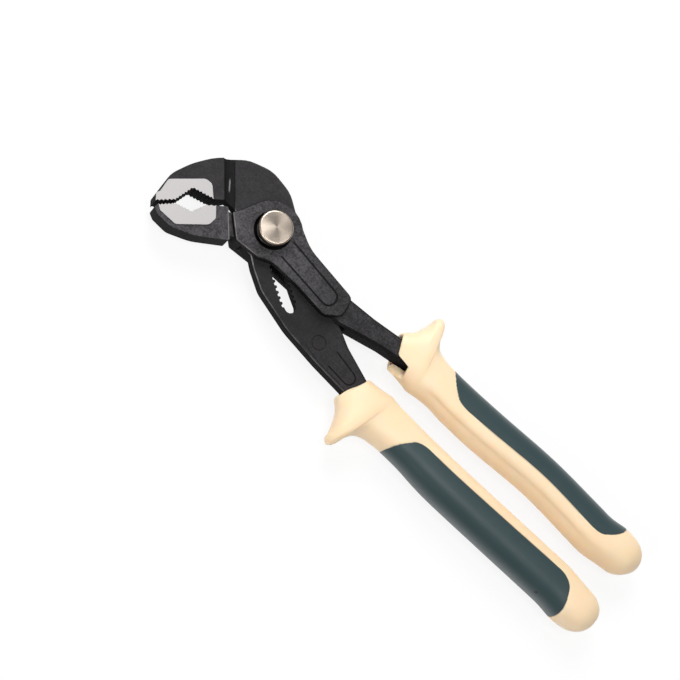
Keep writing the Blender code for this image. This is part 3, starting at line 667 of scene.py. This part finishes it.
def sleevePiece(name, facts):
    # the skin from mouth to end, sunk under the inlay and along the crease, with a lip and a socket
    rows = skinRows(facts)
    turn = np.linspace(0, 2 * math.pi, sleeve["around"], endpoint=False)
    stops = (0, *sleeve["stops"], len(rows) - 1)
    stretches = [np.linspace(a, b, n, endpoint=False) for a, b, n in zip(stops, stops[1:], sleeve["steps"])]
    base = np.concatenate([*stretches, stops[-1:]])[:, None]
    start = np.zeros_like(turn)
    if facts["notch"]:
        # the mouth steps back on the inner side and bares the shank's wall: depth over turn
        deep, turns = facts["notch"]
        start = deep * np.interp(np.degrees(turn), turns, (0, 1, 1, 0))
    u = base + start * np.clip(1 - base / sleeve["notchRows"], 0, 1)
    turns = np.broadcast_to(turn, u.shape)
    x = alongRows(rows, u)[..., 1]
    gap = inlayBorder(signedTurn(turns) / inlayWide(x, facts), x, facts)
    inset, slope, room = sleeve["seat"]
    sink = ease((gap - inset) / slope) * (inlay["deep"] + room)
    if facts["crease"]:
        sink = sink + creaseDeep(rows, u, turns, facts)
    shell = skin(rows, u, turns, -sink, facts)

    # the lip: from the socket's edge to the skin's, bulging towards the jaws; the socket is a superellipse
    middle, halfY, halfZ = facts["socket"]
    power = sleeve["mouthPower"]
    c, s = np.cos(turn), np.sin(turn)
    box = (np.abs(c / halfY) ** power + np.abs(s / halfZ) ** power) ** (-1 / power)
    hole = np.stack([shell[0, :, 0], middle + facts["side"] * box * c, box * s], -1)
    share = np.linspace(0, 1, sleeve["lipRings"] + 2)[1:-1, None, None]
    lip = hole + (shell[0] - hole) * share
    lip[..., 0] -= sleeve["lip"] * np.sin(math.pi * share[..., 0])
    depth = hole + np.array([sleeve["mouthDeep"], 0, 0])
    rings = np.concatenate([depth[None], hole[None], lip, shell])
    mouth = np.full((len(rings) - len(shell), len(turn)), sleeve["farOut"])
    gaps = np.concatenate([mouth, gap])
    points = rings.reshape(-1, 3)
    faces = gridFaces(len(rings), len(turn), True)
    faces += [tuple(reversed(range(len(turn)))), tuple(range(len(points) - len(turn), len(points)))]
    if facts["side"] > 0:
        faces = turned(faces)
    piece = meshFrom(name + "Sleeve", points, faces, finishes["cream"], sleeve["sharp"])
    attribute = piece.data.attributes.new("inlayGap", "FLOAT", "POINT")
    attribute.data.foreach_set("value", gaps.ravel().astype(np.float32))
    return settle(piece, facts["body"], name + "_sleeve")


def inlayPiece(name, facts):
    # a sheet on the skin: rows of share across by place along, rounded down at its edge, with a back
    rows = skinRows(facts)
    edge, ends = inlay["edge"], inlay["edgeSteps"]
    share = np.sin(np.radians(np.linspace(-inlay["lastTurn"], inlay["lastTurn"], inlay["across"])))[:, None]
    first, last = inlayEnds(share, facts)
    length = last - first
    near = np.broadcast_to(edge * (1 - np.cos(np.linspace(0, math.pi / 2, ends, endpoint=False))),
                           (len(share), ends))
    inside = edge + (length - 2 * edge) * np.linspace(0, 1, inlay["along"])
    x = first + np.concatenate([near, inside, length - near[:, ::-1]], 1)
    fineU = np.linspace(0, len(rows) - 1, inlay["samples"])
    u = np.interp(x, alongRows(rows, fineU)[:, 1], fineU)
    turn = share * inlayWide(x, facts)
    border = np.clip(inlayBorder(share, x, facts), 0, edge)
    fall = edge - np.sqrt(np.maximum(edge ** 2 - (edge - border) ** 2, 0))
    top = skin(rows, u, turn, inlay["proud"] - fall, facts)
    back = skin(rows, u, turn, -inlay["deep"], facts)
    count, long = x.shape
    points = np.concatenate([top.reshape(-1, 3), back.reshape(-1, 3)])
    faces = gridFaces(count, long, False)
    faces += turned(gridFaces(count, long, False, count * long))
    index = np.arange(count * long).reshape(count, long)
    rim = np.concatenate([index[0, :-1], index[:-1, -1], index[-1, :0:-1], index[:0:-1, 0]])
    onward = np.roll(rim, -1)
    faces += np.stack([onward, rim, rim + count * long, onward + count * long], 1).tolist()
    if facts["side"] < 0:
        faces = turned(faces)
    piece = meshFrom(name + "Inlay", points, faces, finishes["green"], inlay["sharp"])
    return settle(piece, facts["body"], name + "_inlay")


for name, facts in handles.items():
    sleevePiece(name, facts)
    inlayPiece(name, facts)


# Floor and light: reach, distances and sizes in metres, aim in mm from the pin
studio = {"floor": (0.93, 0.93, 0.93), "reach": 3.0, "glow": 0.87, "sky": 0.27, "aim": (51.01, -12.43, 0.0)}
lamps = {"keyLight": {"direction": (-0.5, 0.56, 0.66), "distance": 1.1, "size": 0.7, "power": 9.4},
         "lowLight": {"direction": (-0.3, -0.74, 0.6), "distance": 1.2, "size": 0.5, "power": 4.4},
         "topLight": {"direction": (0.14, 0.0, 0.99), "distance": 1.2, "size": 0.45, "power": 4.9}}
target = Vector(pin) + Vector(studio["aim"]) * mm


def paleFloor():
    # mostly plain white where seen straight, mirrored or through a clear piece, with part of the shadows
    paint = Paint("paleFloor", Roughness=0.9, Specular_IOR_Level=0.0)
    paint.shader.inputs["Base Color"].default_value = (*studio["floor"], 1)
    kinds = ("Is Camera Ray", "Is Glossy Ray", "Is Transmission Ray")
    straight, mirrored, through = (paint.node("ShaderNodeLightPath", out=kind) for kind in kinds)
    seen = (straight + mirrored + through).sum("MINIMUM", 1.0) * studio["glow"]
    lit = Wire(paint, paint.shader.outputs[0])
    white = paint.node("ShaderNodeEmission")
    both = paint.node("ShaderNodeMixShader", None, {0: seen, 1: lit, 2: white})
    paint.tree.links.new(both.socket, paint.tree.nodes["Material Output"].inputs["Surface"])
    return paint.material


def floorUnder():
    # a square at the lowest point: the inlays stand a hair lower than the CAD's back
    far = studio["reach"]
    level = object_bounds()[0][2]
    corners = [(-far, -far, level), (far, -far, level), (far, far, level), (-far, far, level)]
    mesh = bpy.data.meshes.new("floor")
    mesh.from_pydata(corners, [], [(0, 1, 2, 3)])
    mesh.materials.append(paleFloor())
    floor = bpy.data.objects.new("floor", mesh)
    bpy.context.scene.collection.objects.link(floor)


def softBox(name, direction, distance, size, power):
    lamp = bpy.data.lights.new(name, "AREA")
    lamp.shape = "DISK"
    lamp.size = size
    lamp.energy = power
    holder = bpy.data.objects.new(name, lamp)
    aim = Vector(direction).normalized()
    holder.location = target + aim * distance
    holder.rotation_euler = aim.to_track_quat("Z", "Y").to_euler()
    bpy.context.scene.collection.objects.link(holder)


floorUnder()
world = bpy.data.worlds.new("softRoom")
world.use_nodes = True
room = world.node_tree.nodes["Background"]
room.inputs["Color"].default_value = (1, 1, 1, 1)
room.inputs["Strength"].default_value = studio["sky"]
bpy.context.scene.world = world
for name, facts in lamps.items():
    softBox(name, **facts)
print("floor and lights in place")

# Camera: at the photograph's tilt, rolled so that the handles run to the lower right
view = {"tiltX": 6.0, "tiltY": 22.0, "roll": 43.1, "distance": 700.0, "mmPerPixel": 250 / 605, "pixels": 680,
        "sensor": 36.0, "nearest": 0.01}
back = np.array([-math.sin(math.radians(view["tiltX"])), -math.sin(math.radians(view["tiltY"])), 0.0])
back[2] = math.sqrt(1 - back @ back)
across = np.array([1.0, 0, 0]) - back[0] * back
across /= np.linalg.norm(across)
upward = np.cross(back, across)
roll = math.radians(view["roll"])
right = math.cos(roll) * across + math.sin(roll) * upward
top = math.cos(roll) * upward - math.sin(roll) * across
lens = bpy.data.cameras.new("camera")
lens.sensor_width = view["sensor"]
lens.lens = view["distance"] / view["mmPerPixel"] / view["pixels"] * view["sensor"]
lens.clip_start = view["nearest"]
camera = bpy.data.objects.new("camera", lens)
spot = np.array(target) + back * view["distance"] * mm
camera.matrix_world = Matrix([[right[i], top[i], back[i], spot[i]] for i in range(3)] + [[0, 0, 0, 1]])
bpy.context.scene.collection.objects.link(camera)
bpy.context.scene.camera = camera
bpy.context.scene.view_settings.view_transform = "Standard"
